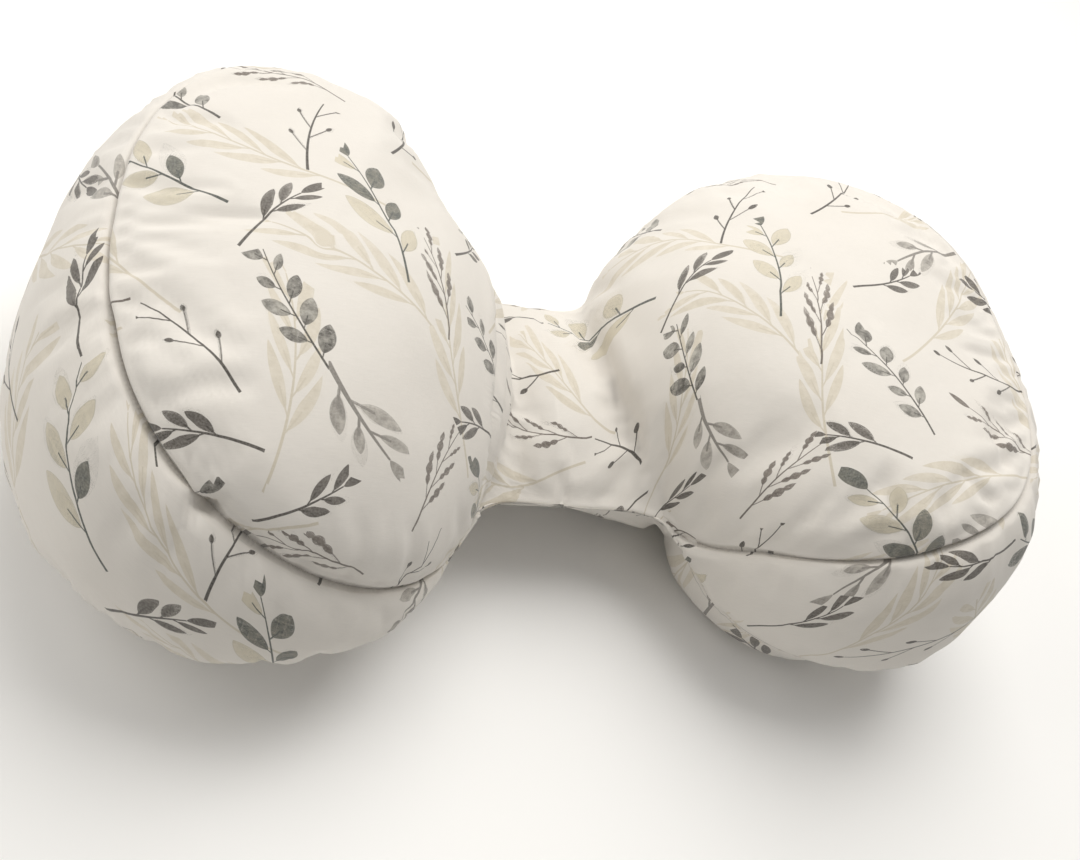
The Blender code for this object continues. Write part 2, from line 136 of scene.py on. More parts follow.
def girth(angle):
    turned = angle - LOBE_TOE_IN
    across = (abs(cos(turned)) / LOBE_HALF_WIDTH) ** LOBE_SQUARENESS
    along = (abs(sin(turned)) / LOBE_HALF_DEPTH) ** LOBE_SQUARENESS
    return (across + along) ** (-1 / LOBE_SQUARENESS)


def harmonics(terms, angle):
    mean, outwards, backwards, saddle, twist = terms
    first = mean + outwards * cos(angle) + backwards * sin(angle)
    return first + saddle * cos(2 * angle) + twist * sin(2 * angle)


def lobe_seam(side, angle):
    return girth(angle) * min(harmonics(SEAM_REACH[side], angle), 1.0)


def bridge_edge(angle):
    if cos(angle) >= 0:
        return 0.0
    reach = BRIDGE_BACK if sin(angle) > 0 else BRIDGE_FRONT
    return reach / max(abs(sin(angle)), 1e-6)


def low_seam(angle):
    dx = ARC_X - LOBE_X
    toward = dx * cos(angle) + ARC_Y * sin(angle)
    aside = dx * sin(angle) - ARC_Y * cos(angle)
    arc = toward + sqrt(max(ARC_RADIUS ** 2 - aside ** 2, 0.0))
    return mix(arc, girth(angle) - BACK_INSET, ease((angle - ARC_END) / ARC_TO_BACK))


def wall_share(angle):
    return ease((angle - NECK_FRONT) / NECK_BLEND) * ease((NECK_BACK - angle) / NECK_BLEND)


def across_bridge(y):
    half = (BRIDGE_FRONT + BRIDGE_BACK) / 2
    return 1 - ((y - BEND_Y) / half) ** 2


def top_height(side, angle, distance):
    edge = mix(BRIDGE_EDGE_HEIGHT, harmonics(SEAM_HEIGHT[side], angle), wall_share(angle))
    seam = lobe_seam(side, angle)
    share = distance / seam
    if share < 1:
        dome = edge + (CROWN_HEIGHT - edge) * sqrt(1 - share ** 2)
    else:
        dome = edge - (distance - seam)
    bridge = BRIDGE_EDGE_HEIGHT + BRIDGE_CROWN * across_bridge(distance * sin(angle))
    return soft_max(dome, bridge, TOP_FILLET)


def directions():
    """Angles round the lobe from the bridge's front corner, and whether each is a cut."""
    front = atan2(-BRIDGE_FRONT, -LOBE_X)
    back = atan2(BRIDGE_BACK, -LOBE_X)
    stops = [front, NECK_FRONT, NECK_BACK, back, atan2(BEND_Y, -LOBE_X), front + 2 * pi]
    steps = [EDGE_STEPS, LOBE_STEPS, EDGE_STEPS, CUT_STEPS, CUT_STEPS]
    angles = []
    for start, end, count in zip(stops, stops[1:], steps):
        angles += [mix(start, end, i / count) for i in range(count)]
    return angles


def resample(points, shares):
    """Points of a polyline at the given shares of its length, and that length."""
    points = np.array(points)
    along = np.concatenate(([0.0], np.cumsum(np.hypot(*np.diff(points, axis=0).T))))
    at = np.array(shares) * along[-1]
    return np.stack([np.interp(at, along, points[:, k]) for k in (0, 1)], 1), along[-1]


def clustered(count, length, start, end):
    """Shares from 0 to 1 with rows close together at the sewn ends."""
    fit = min(1.0, length / (5 * EDGE_OFFSETS[-1]))
    low = [k * fit / length for k in EDGE_OFFSETS] if start else [0.0]
    high = [1 - k * fit / length for k in reversed(EDGE_OFFSETS)] if end else [1.0]
    between = count - len(low) - len(high)
    step = (high[0] - low[-1]) / (between + 1)
    return low + [low[-1] + step * (k + 1) for k in range(between)] + high


def zip_tuck(side, angle):
    """1 by the neck of the right lobe, where the wall hangs straight above the zip."""
    if side == "left":
        return 0.0
    return (ease((angle - TUCK_FROM) / TUCK_START)
            * ease((TUCK_TO - angle) / TUCK_FADE))


# steps in the smooth outlines that the panels' rows are then taken from
FINE_TOP = 80
FINE_WALL = 24
FINE_KNEE = 12
FINE_UNDER = 24


def profile_parts(side, angle, on_cut):
    """Fine polylines of the top, the wall and the underside in one direction."""
    share = wall_share(angle)
    if on_cut:
        out = LOBE_X / -cos(angle)
        rise = max(across_bridge(out * sin(angle)), 0.0)
        high = BRIDGE_EDGE_HEIGHT + BRIDGE_CROWN * rise
        low = BRIDGE_EDGE_HEIGHT - BRIDGE_BELLY * rise
    else:
        out = soft_max(lobe_seam(side, angle), bridge_edge(angle), NECK_FILLET)
        high = mix(BRIDGE_EDGE_HEIGHT, harmonics(SEAM_HEIGHT[side], angle), share)
        low = mix(BRIDGE_EDGE_HEIGHT, LOW_SEAM_HEIGHT, share)
    wide = mix(out, max(girth(angle), out), share)
    under = mix(out, low_seam(angle), share)
    wide = min(wide, max(out, under) + max(high - low, 0.0))
    tuck = zip_tuck(side, angle)
    wide = mix(wide, min(wide, max(out, under + TUCKED_BELLY)), tuck)
    belt = mix((high + low) / 2, min(GIRTH_HEIGHT, (high + low) / 2), share)
    top = []
    for i in range(FINE_TOP + 1):
        k = sin(pi / 2 * mix(0.02, 1.0, i / FINE_TOP))
        top.append((out * k, top_height(side, angle, out * k)))
    end = top[-1][1]
    for i, (distance, height) in enumerate(top):
        top[i] = (distance, height + (high - end) * ease(3 * distance / out - 2))
    wall = []
    for i in range(FINE_WALL + 1):
        turn = pi / 2 * i / FINE_WALL
        wall.append((out + (wide - out) * sin(turn), belt + (high - belt) * cos(turn)))
    knee = min(low + (wide - under) / tan(LOW_SEAM_TILT), mix(belt, low, 0.1))
    for i in range(1, FINE_KNEE + 1):
        k = i / FINE_KNEE
        wall.append(((1 - k * k) * wide + k * k * under,
                     (1 - k) ** 2 * belt + 2 * k * (1 - k) * knee + k * k * low))
    foot = mix(0.55 * under, under - low * tan(LOW_SEAM_TILT), share)
    foot = mix(foot, max(foot, under - TUCKED_FOOT), tuck)
    inner = max(foot - FOOT_WIDTH, 0.25 * under)
    below = []
    for i in range(FINE_UNDER + 1):
        k = i / FINE_UNDER
        distance = (1 - k) ** 2 * under + 2 * k * (1 - k) * foot + k * k * inner
        below.append((distance, (1 - k) ** 2 * low))
    below.append((0.02 * inner, 0.0))
    return top, wall, below


class Panel:
    """Vertices, quads and sewing coordinates of one panel on one half."""

    def __init__(self, name):
        self.name = name
        self.points = []      # world position
        self.flat = []        # position on the flat cloth
        self.faces = []
        self.seams = ([], []) # the top seam and the lower seam, if it has them


def grid_faces(panel, columns, rows, first, closed):
    last = columns if closed else columns - 1
    for i in range(last):
        k = (i + 1) % columns
        for j in range(rows - 1):
            a, b = first + i * rows + j, first + k * rows + j
            panel.faces.append((a, a + 1, b + 1, b))


FAR = 1.0                    # metres, more than any distance on the pillow
UNDER_STRETCH = (1.1, 1.12)
UNDER_SHIFT = (0.13, -0.07)
WALL_STRETCH = 0.95
WALL_SHIFT = (0.04, 0.09)


def build_half(side):
    """The three panels of one half, in world coordinates."""
    sign = 1 if side == "right" else -1
    angles = directions()
    lobe_end = 2 * EDGE_STEPS + LOBE_STEPS
    top, wall, under = Panel("top"), Panel("wall"), Panel("under")
    run = 0.0
    previous = None

    def place(angle, row):
        return (sign * (LOBE_X + row[0] * cos(angle)), row[0] * sin(angle), row[1])

    for i, angle in enumerate(angles):
        on_cut = i >= lobe_end
        parts = profile_parts(side, angle, on_cut)
        lengths = [resample(part, (0, 1))[1] for part in parts]
        seam = Vector(place(angle, parts[0][-1]))
        if previous is not None and not on_cut:
            run += (seam - previous).length
        previous = seam
        high = clustered(TOP_ROWS, lengths[0], False, True)
        rows, length = resample(parts[0], high)
        for row, share in zip(rows, high):
            top.points.append(place(angle, row))
            reach = share * length
            top.flat.append(top_flat(sign, angle, reach, top.points[-1]))
        has_wall = EDGE_STEPS <= i <= EDGE_STEPS + LOBE_STEPS
        if i <= lobe_end:
            tall = min(lengths[1] / 0.03, 1.0) if has_wall else 0.0
            top.seams[0].append((*seam, run, 0.45 + 0.55 * tall))
        if has_wall:
            corner = place(angle, parts[2][0])
            top.seams[1].append((*corner, run, min(lengths[1] / 0.02, 1.0)))
        low = clustered(UNDER_ROWS, lengths[2], True, False)
        rows, length = resample(parts[2], low)
        in_zip = zip_share(sign, place(angle, rows[0]))
        for k, row in enumerate(rows):
            at = Vector(place(angle, row))
            if k == 0 and in_zip > 0:
                following = Vector(place(angle, rows[1 if lengths[2] else 0]))
                at += (following - at).normalized() * min(LIP_SETBACK * in_zip, LIP_LIMIT)
            under.points.append(tuple(at))
            under.flat.append((sign * at.x * UNDER_STRETCH[0] + UNDER_SHIFT[0],
                               at.y * UNDER_STRETCH[1] + UNDER_SHIFT[1]))
        if has_wall:
            spaced = clustered(WALL_ROWS, max(lengths[1], 1e-4), True, True)
            rows, length = resample(parts[1], spaced)
            for k, (row, share) in enumerate(zip(rows, spaced)):
                at = Vector(place(angle, row))
                if k == WALL_ROWS - 1 and in_zip > 0:
                    before = Vector(place(angle, rows[k - 1]))
                    at += (before - at).normalized() * min(LIP_SETBACK * in_zip, LIP_LIMIT)
                wall.points.append(tuple(at))
                wall.flat.append((sign * run * WALL_STRETCH + WALL_SHIFT[0],
                                  -share * length + WALL_SHIFT[1]))
    grid_faces(top, len(angles), TOP_ROWS, 0, True)
    grid_faces(under, len(angles), UNDER_ROWS, 0, True)
    grid_faces(wall, LOBE_STEPS + 1, WALL_ROWS, 0, False)
    for panel, row, rows, height in ((top, 0, TOP_ROWS, CROWN_HEIGHT),
                                     (under, UNDER_ROWS - 1, UNDER_ROWS, 0.0)):
        middle = len(panel.points)
        panel.points.append((sign * LOBE_X, 0.0, height))
        ring = [i * rows + row for i in range(len(angles))]
        panel.flat.append(tuple(np.mean([panel.flat[i] for i in ring], axis=0)))
        for a, b in zip(ring, ring[1:] + ring[:1]):
            panel.faces.append((middle, a, b) if row == 0 else (a, middle, b))
    if sign < 0:
        for panel in (top, wall, under):
            panel.faces = [face[::-1] for face in panel.faces]
    return top, wall, under


PRINT_TURN = {1: radians(22), -1: radians(-3)}
PRINT_SHIFT = 0.035          # added to the lobe's place, so the two lobes differ
TOP_STRETCH = 1.06
PLAIN_UNTIL = 0.015          # half width of the bridge that is printed straight
PLAIN_FADE = 0.075


def top_flat(sign, angle, reach, point):
    """Print position on the top panel: unrolled round each lobe, plain over the bridge."""
    turn = PRINT_TURN[sign]
    x, y = sign * reach * cos(angle), reach * sin(angle)
    lobe = (cos(turn) * x - sin(turn) * y, sin(turn) * x + cos(turn) * y)
    offset = sign * (LOBE_X + PRINT_SHIFT)
    plain = (point[0] * TOP_STRETCH, point[1] * TOP_STRETCH)
    keep = ease((abs(point[0]) - PLAIN_UNTIL) / PLAIN_FADE)
    return tuple(mix(p, q, keep) for p, q in zip(plain, (offset + lobe[0], lobe[1])))


def zip_share(sign, point, start=ZIP_FROM):
    """1 where the lower seam is the zip, 0 where it is plainly sewn."""
    if sign < 0:
        return 0.0
    turn = atan2(point[1] - ARC_Y, point[0] - ARC_X)
    return ease((turn - start) / ZIP_FADE) * ease((ZIP_TO - turn) / ZIP_FADE)


def seam_distance(points, lines):
    """Distance to the nearest of some sewn lines, the place along it, its strength."""
    gap = np.full(len(points), FAR)
    along = np.zeros(len(points))
    strength = np.zeros(len(points))
    for line in lines:
        tree = KDTree(len(line))
        for i, row in enumerate(line):
            tree.insert(row[:3], i)
        tree.balance()
        nearest = np.array([tree.find(p)[1] for p in points])
        for step in (-1, 0):
            first = np.clip(nearest + step, 0, len(line) - 2)
            a, b = line[first], line[first + 1]
            span = b[:, :3] - a[:, :3]
            share = ((points - a[:, :3]) * span).sum(axis=1) / (span ** 2).sum(axis=1)
            share = np.clip(share, 0, 1)[:, None]
            at = a + share * (b - a)
            away = np.linalg.norm(points - at[:, :3], axis=1)
            nearer = away < gap
            gap[nearer] = away[nearer]
            along[nearer] = at[nearer, 3]
            strength[nearer] = at[nearer, 4]
    return gap, along, strength


# ---- joining the halves ----
class Cloth:
    """All panels as arrays, with the vertices that are sewn together known."""

    def __init__(self):
        halves = {side: build_half(side) for side in ("left", "right")}
        self.spans = []
        points, flat, faces = [], [], []
        self.lines = ([], [])
        for side, panels in halves.items():
            for panel in panels:
                first = len(points)
                points += panel.points
                flat += panel.flat
                for kept, line in zip(self.lines, panel.seams):
                    if line:
                        kept.append(np.array(line))
                faces.append([tuple(first + v for v in face) for face in panel.faces])
                self.spans.append((side, panel.name, first, len(points), len(faces) - 1))
        self.points = np.array(points)
        self.flat = np.array(flat)
        self.faces = faces
        measured = [seam_distance(self.points, lines) for lines in self.lines]
        self.seams, self.along, self.strength = (
            np.stack([found[k] for found in measured], 1) for k in range(3))
        keys = np.floor(self.points * 2e4 + 0.37).astype(np.int64)
        _, self.group = np.unique(keys, axis=0, return_inverse=True)
        self.group = self.group.reshape(-1)
        self.sewing = self.nearest_sewing()

    def shared(self, values):
        """The mean over vertices that lie together."""
        count = np.bincount(self.group)
        if values.ndim == 1:
            return (np.bincount(self.group, values) / count)[self.group]
        return np.stack([self.shared(values[:, k]) for k in range(values.shape[1])], 1)

    def nearest_sewing(self):
        """Distance to the nearest seam, the place along it, and 1 if it has lips."""
        rows = np.arange(len(self.points))
        nearest = self.seams.argmin(axis=1)
        zipped = np.array([zip_share(1 if p[0] > 0 else -1, p, LIPS_FROM)
                           for p in self.points])
        return np.stack([self.seams[rows, nearest], self.along[rows, nearest],
                         zipped * nearest], 1)

    def normals(self):
        """Outward directions, the same on both sides of a seam."""
        total = np.zeros_like(self.points)
        for faces in self.faces:
            for size in (3, 4):
                chosen = np.array([f for f in faces if len(f) == size])
                if len(chosen):
                    corners = self.points[chosen]
                    cross = np.cross(corners[:, 2] - corners[:, 0],
                                     corners[:, -1] - corners[:, 1])
                    for k in range(size):
                        np.add.at(total, chosen[:, k], cross)
        total = self.shared(total)
        return total / np.maximum(np.linalg.norm(total, axis=1), 1e-12)[:, None]


def placed(name, data):
    """A new object in the scene."""
    made = bpy.data.objects.new(name, data)
    bpy.context.scene.collection.objects.link(made)
    return made


def remeshed(made):
    """The object's form as an even voxel mesh."""
    even = made.modifiers.new("even", "REMESH")
    even.mode = "VOXEL"
    even.voxel_size = VOXEL
    graph = bpy.context.evaluated_depsgraph_get()
    return bpy.data.meshes.new_from_object(made.evaluated_get(graph))


def body_mesh(cloth):
    """One closed mesh of the whole skin, for the simulation."""
    groups = cloth.group.max() + 1
    points = np.zeros((groups, 3))
    points[cloth.group] = cloth.points
    faces = set()
    for panel in cloth.faces:
        for face in panel:
            welded = []
            for v in face:
                g = int(cloth.group[v])
                if g not in welded:
                    welded.append(g)
            if len(welded) > 2:
                faces.add(tuple(welded))
    data = bpy.data.meshes.new("body")
    data.from_pydata([tuple(p) for p in points], [], sorted(faces))
    data.update()
    return data


def simulate(cloth):
    """Swell and wrinkle the skin under pressure.

    Returns the rest mesh's places and faces, how far each vertex moves outwards, and
    the slow part of that movement.
    """
    scene = bpy.context.scene
    source = placed("sim_source", body_mesh(cloth))
    data = remeshed(source)
    bpy.data.objects.remove(source, do_unlink=True)
    skin = placed("sim_skin", data)
    rest = np.array([v.co for v in data.vertices])
    sewing = seam_distance(rest, cloth.lines[0] + cloth.lines[1])[0]
    pins = skin.vertex_groups.new(name="pins")
    for i, point in enumerate(rest):
        held = ease(1.6 - sewing[i] / PIN_REACH)
        floor = ease(1.0 - point[2] / FLOOR_REACH)
        weight = max(held, floor)
        if weight > 0:
            pins.add([i], weight, "REPLACE")
    sheet = skin.modifiers.new("cloth", "CLOTH")
    settings = sheet.settings
    settings.quality = 6
    settings.mass = CLOTH_MASS
    settings.tension_stiffness = STRETCH_STIFFNESS
    settings.compression_stiffness = STRETCH_STIFFNESS
    settings.shear_stiffness = SHEAR_STIFFNESS
    settings.bending_stiffness = BENDING_STIFFNESS
    settings.use_pressure = True
    settings.uniform_pressure_force = PRESSURE
    settings.vertex_group_mass = "pins"
    settings.shrink_min = GROW
    settings.effector_weights.gravity = 0
    sheet.collision_settings.use_collision = False
    for step in range(1, SIM_FRAMES + 1):
        scene.frame_set(step)
    graph = bpy.context.evaluated_depsgraph_get()
    swollen = skin.evaluated_get(graph).to_mesh()
    moved = np.array([v.co for v in swollen.vertices])
    normals = np.array([v.normal for v in data.vertices])
    edges = np.array([e.vertices[:] for e in data.edges])
    polygons = [tuple(p.vertices) for p in data.polygons]
    bpy.data.objects.remove(skin, do_unlink=True)
    scene.frame_set(1)
    push = moved - rest
    size = np.linalg.norm(push, axis=1)
    push *= (np.minimum(size, SWELL_CAP) / np.maximum(size, 1e-9))[:, None]
    outwards = (push * normals).sum(axis=1)
    slow = smoothed(outwards, edges, SLOW_ROUNDS)
    return rest, polygons, outwards, slow


def smoothed(values, edges, rounds):
    """Values averaged with their neighbours again and again."""
    count = np.bincount(edges.reshape(-1), minlength=len(values))
    for _ in range(rounds):
        total = np.bincount(edges[:, 0], values[edges[:, 1]], minlength=len(values))
        total = total + np.bincount(edges[:, 1], values[edges[:, 0]],
                                    minlength=len(values))
        values = 0.4 * values + 0.6 * total / np.maximum(count, 1)
    return values


WRINKLE_GAIN = 1.2           # share of the simulation's wrinkles that is kept,
SWELL_GAIN = 0.12            # and of its slow swelling


def swelling(cloth):
    """How far the simulation moves each of the cloth's vertices outwards."""
    rest, polygons, outwards, slow = simulate(cloth)
    wanted = WRINKLE_GAIN * (outwards - slow) + SWELL_GAIN * slow
    tree = BVHTree.FromPolygons([tuple(p) for p in rest], polygons)
    result = np.zeros(len(cloth.points))
    for i, point in enumerate(cloth.points):
        spot, _, index, _ = tree.find_nearest(Vector(point))
        corners = polygons[index]
        weights = poly_3d_calc([Vector(rest[v]) for v in corners], spot)
        result[i] = sum(w * wanted[v] for w, v in zip(weights, corners))
    return result


# ---- folds ----
# Each is a soft crease along a line of points, then its width and its depth, in mm.
FOLDS = (
    # where the bridge runs in under the left lobe
    (((-50, 60, 135), (-60, 0, 146), (-67, -55, 138), (-68, -95, 103)), 5.5, 5.2),
    (((-26, 35, 98), (-30, -10, 97), (-33, -45, 90)), 4.5, 2.8),
    (((-12, 30, 99), (-16, -20, 97), (-12, -60, 84)), 4, 1.6),
    (((-40, -20, 115), (-47, -60, 104), (-58, -90, 90)), 4, 2.6),
    # the right lobe's neck
    (((38, 55, 102), (46, 15, 104), (43, -15, 102)), 7, 3),
    (((50, 40, 108), (60, -10, 115)), 6, 1.8),
    # tucks and pulls by the left lobe's seam
    (((-262, -135, 158), (-245, -142, 152), (-222, -140, 155)), 4.5, 4.4),
    (((-240, -120, 165), (-225, -135, 158)), 5, 2.2),
    (((-180, -163, 129), (-176, -140, 163)), 5.5, 2.8),
    (((-155, -161, 117), (-156, -140, 155)), 5, 2.6),
    (((-135, -155, 108), (-142, -135, 150)), 4, 1.8),
    (((-120, -150, 102), (-126, -134, 142)), 5, 2.4),
    (((-275, -62, 184), (-245, -66, 189), (-218, -75, 194)), 6, 2.2),
    (((-264, -98, 177), (-235, -92, 184), (-213, -92, 190)), 6, 2.6),
    # gathers on the right lobe's wall and along its seam
    (((124, -159, 102), (150, -171, 107), (177, -179, 114)), 5, 1.8),
    (((189, -182, 106), (210, -178, 122), (231, -169, 140)), 5, 2),
    (((150, -168, 90), (190, -180, 95)), 4, 1.5),
    (((247, -63, 200), (256, -98, 196)), 4.5, 2.4),
    (((215, -101, 195), (241, -125, 189)), 4.5, 2.2),
    (((162, -101, 185), (174, -140, 170)), 5.5, 2.4),
    (((192, -108, 191), (201, -142, 177)), 5, 2.4),
    # the far sides, which the photograph doesn't show
    (((-230, 135, 150), (-205, 115, 175)), 5, 2.2),
    (((-150, 150, 130), (-150, 125, 160)), 5, 2.2),
    (((150, 150, 130), (155, 120, 165)), 5, 2.2),
    (((225, 140, 140), (210, 115, 170)), 5, 2),
)


def ridge(gap, height, middle, width):
    return height * np.exp(-((gap - middle) / width) ** 2)


def groove(gap, depth, width):
    return -depth * np.exp(-gap / width)


CREASE_RIM = (0.45, 1.7, 0.9)    # its height, place and width, in depths and widths


def creases(points):
    """How far the authored folds move each point: a valley with a low rim on each side."""
    depth = np.zeros(len(points))
    for line, width, amount in FOLDS:
        line, width, amount = np.array(line) / 1000, width / 1000, amount / 1000
        lengths = np.linalg.norm(np.diff(line, axis=0), axis=1)
        gap = np.full(len(points), FAR)
        along = np.zeros(len(points))
        for k, length in enumerate(lengths):
            span = line[k + 1] - line[k]
            share = np.clip((points - line[k]) @ span / length ** 2, 0, 1)
            away = np.linalg.norm(points - (line[k] + share[:, None] * span), axis=1)
            nearer = away < gap
            gap[nearer] = away[nearer]
            along[nearer] = (lengths[:k].sum() + share * length)[nearer]
        along /= lengths.sum()
        gap /= width
        taper = np.clip(4 * along * (1 - along), 0, 1) ** 0.7
        valley = np.exp(-gap ** 2) - ridge(gap, *CREASE_RIM)
        depth -= amount * taper * valley
    return depth


def rolling(points, scale, seed):
    """Smooth noise, one value a point."""
    shift = Vector((seed * 7.3, seed * 3.1, seed * 5.7))
    return np.array([noise.noise(Vector(p) * scale + shift) for p in points])


GATHERS = ((0.0012, 0.013), (0.0003, 0.012))     # depth and reach, top and lower seam
GATHERED = 0.06              # no gathers further from a seam than this
PUCKERS = (9, 60, 12)        # waves a metre: bunches and puckers along, change outwards


def gathers(cloth, seed):
    """Small puckers that run away from the seams."""
    result = np.zeros(len(cloth.points))
    for k, (amount, reach) in enumerate(GATHERS):
        gap = cloth.seams[:, k]
        near = np.nonzero(gap < GATHERED)[0]
        wave = np.zeros(len(near))
        for n, i in enumerate(near):
            at = cloth.along[i, k]
            bunch = noise.noise(Vector((at * PUCKERS[0], seed, k)))
            pucker = Vector((at * PUCKERS[1], seed + 3, gap[i] * PUCKERS[2]))
            wave[n] = (0.35 + 0.65 * max(bunch + 0.3, 0)) * noise.noise(pucker)
        result[near] += amount * wave * np.exp(-gap[near] / reach) * cloth.strength[near, k]
    return result


UNEVENNESS = ((0.0016, 14, 1), (0.0007, 34, 2))     # metres, waves a metre, seed
FLOOR_CLEAR = 0.0002
ZIP_CALM = 0.018             # no folds this near the zip, so its lips lie even
# What sewing does to the cloth beside a seam. A ridge has a height, a distance from the
# seam and a width; a groove has a depth and a width.
TOP_ROLL = (0.0010, 0.0026, 0.0022)      # the top panel rolls over its seam
WALL_PULL = (0.0004, 0.009)              # the wall is drawn in below it
TOP_GROOVE = (0.0012, 0.0012)
LOW_ROLL = (0.0007, 0.0030, 0.0018)      # both sides of the lower seam, or the zip's lips
LIP_EDGE = (0.0009, 0.0062, 0.0011)      # where each lip is stitched to the tape
LOW_GROOVE = (0.0012, 0.0010)
LEVEL = 0.02                 # near the floor, up to this height, seams pull in less


def sewn(cloth):
    """The skin after simulation, folds, gathers and the pull of the seams."""
    normals = cloth.normals()
    points = cloth.points
    push = swelling(cloth)
    push += creases(points)
    for amount, scale, seed in UNEVENNESS:
        push += amount * rolling(points, scale, seed)
    push += gathers(cloth, 4)
    zipped = np.array([zip_share(1 if p[0] > 0 else -1, p) for p in points])
    low_gap = cloth.seams[:, 1]
    calm = 1 - zipped * np.clip(1.25 - low_gap / ZIP_CALM, 0, 1)
    push *= calm
    gap = cloth.seams[:, 0]
    wall = np.zeros(len(points), bool)
    for _, panel, first, last, _ in cloth.spans:
        wall[first:last] = panel == "wall"
    sewing = np.where(wall, groove(gap, *WALL_PULL), ridge(gap, *TOP_ROLL))
    push += (sewing + groove(gap, *TOP_GROOVE)) * cloth.strength[:, 0]
    lips = ridge(low_gap, *LOW_ROLL) - zipped * ridge(low_gap, *LIP_EDGE)
    push += (lips + groove(low_gap, *LOW_GROOVE)) * cloth.strength[:, 1]
    push = cloth.shared(push)
    push = np.where(push < 0, push * np.clip(points[:, 2] / LEVEL, 0, 1), push)
    moved = points + normals * push[:, None]
    moved[:, 2] = np.maximum(moved[:, 2], FLOOR_CLEAR)
    return moved


# ---- shader helper ----
class Value:
    """A shader socket that can be used in ordinary arithmetic."""

    def __init__(self, net, socket):
        self.net = net
        self.socket = socket

    def operator(operation, turned=False):
        def apply(self, other):
            pair = (other, self) if turned else (self, other)
            return self.net.math(operation, *pair)
        return apply

    __add__ = __radd__ = operator("ADD")
    __mul__ = __rmul__ = operator("MULTIPLY")
    __sub__ = operator("SUBTRACT")
    __rsub__ = operator("SUBTRACT", turned=True)
    __truediv__ = operator("DIVIDE")


class Net:
    """Builds the nodes of one material."""

    def __init__(self, name):
        self.material = bpy.data.materials.new(name)
        self.material.use_nodes = True
        self.tree = self.material.node_tree
        self.shader = self.tree.nodes["Principled BSDF"]

    def feed(self, socket, value):
        if isinstance(value, Value):
            self.tree.links.new(value.socket, socket)
        elif isinstance(value, tuple) and len(value) == 3:
            socket.default_value = (*value, 1.0) if len(socket.default_value) == 4 else value
        else:
            socket.default_value = value

    def node(self, kind, inputs=(), output=0, **settings):
        made = self.tree.nodes.new(kind)
        for key, value in settings.items():
            setattr(made, key, value)
        for key, value in dict(inputs).items():
            self.feed(made.inputs[key], value)
        return Value(self, made.outputs[output])

    def math(self, operation, *values, clamp=False):
        return self.node("ShaderNodeMath", {k: v for k, v in enumerate(values)},
                         operation=operation, use_clamp=clamp)

    def clamp(self, value):
        return self.math("MULTIPLY", value, 1.0, clamp=True)

    def largest(self, first, *others):
        for other in others:
            first = self.math("MAXIMUM", first, other)
        return first

    def attribute(self, name):
        return self.node("ShaderNodeAttribute", output="Vector", attribute_name=name)

    def split(self, vector):
        made = self.tree.nodes.new("ShaderNodeSeparateXYZ")
        self.feed(made.inputs[0], vector)
        return [Value(self, socket) for socket in made.outputs]

    def noise(self, vector, scale, detail=2.0, roughness=0.5):
        return self.node("ShaderNodeTexNoise",
                         {"Vector": vector, "Scale": scale, "Detail": detail,
                          "Roughness": roughness})

    def random(self, value):
        """Three random numbers for one number."""
        made = self.tree.nodes.new("ShaderNodeTexWhiteNoise")
        made.noise_dimensions = "1D"
        self.feed(made.inputs["W"], value)
        return self.split(Value(self, made.outputs["Color"]))

    def colour_mix(self, share, first, second):
        made = self.tree.nodes.new("ShaderNodeMix")
        made.data_type = "RGBA"
        self.feed(made.inputs["Factor"], share)
        self.feed(made.inputs[6], first)
        self.feed(made.inputs[7], second)
        return Value(self, made.outputs[2])

    def surface(self, colour, roughness, normal):
        for name, value in (("Base Color", colour), ("Roughness", roughness),
                            ("Normal", normal)):
            self.feed(self.shader.inputs[name], value)

    def settle(self, **values):
        """Set inputs of the shader; a name has _ where the input has a space."""
        for name, value in values.items():
            self.shader.inputs[name.replace("_", " ")].default_value = value

    def bump(self, height, distance, strength=1.0, normal=None):
        inputs = {"Height": height, "Distance": distance, "Strength": strength}
        if normal is not None:
            inputs["Normal"] = normal
        return self.node("ShaderNodeBump", inputs)


def linear(red, green, blue):
    """A colour given as on screen, 0 to 255, in the shader's linear values."""
    return tuple((c / 255 / 12.92) if c <= 10 else ((c / 255 + 0.055) / 1.055) ** 2.4
                 for c in (red, green, blue))


# ---- the leaf print ----
# Lengths in mm: the stem's length, half width and bend; the leaves' angle in degrees and
# spacing, their petiole, length and half width; where the first leaf is; lobes, curl, colours.
MOTIF_TERMS = ("length", "stem", "bend", "turn", "spacing", "petiole", "leaf", "width",
               "first", "lobes", "curl", "dark", "light")
MOTIFS = {name: dict(zip(MOTIF_TERMS, row)) for name, *row in (
    ("twig", 72, 0.75, 0.0035, 38, 22, 14, 6.5, 1.9, 12, 0, 0.006,
     (70, 65, 59), (96, 90, 83)),
    ("olive", 80, 0.65, -0.0022, 44, 16, 2.5, 17, 4.5, 14, 0, 0.004,
     (78, 75, 69), (184, 180, 170)),
    ("fiveleaf", 50, 0.8, 0.003, 33, 13, 2, 21, 3.4, 18, 0, 0.01,
     (78, 73, 67), (120, 114, 106)),
    ("lobed", 68, 0.6, -0.003, 27, 16, 7, 19, 2.4, 13, 3, 0.008,
     (106, 97, 89), (134, 126, 117)),
    ("seedpod", 58, 1.3, 0.004, 40, 18, 5, 24, 4.6, 13, 0, 0.008,
     (132, 127, 120), (194, 188, 178)),
    ("slate", 84, 0.75, 0.0022, 42, 22, 2.5, 25, 6.4, 16, 0, 0.004,
     (76, 80, 75), (208, 199, 178)),
    ("willow", 122, 0.8, 0.0022, 27, 20, 3, 40, 3.7, 22, 0, 0.006,
     (204, 195, 177), (221, 213, 198)),
)}
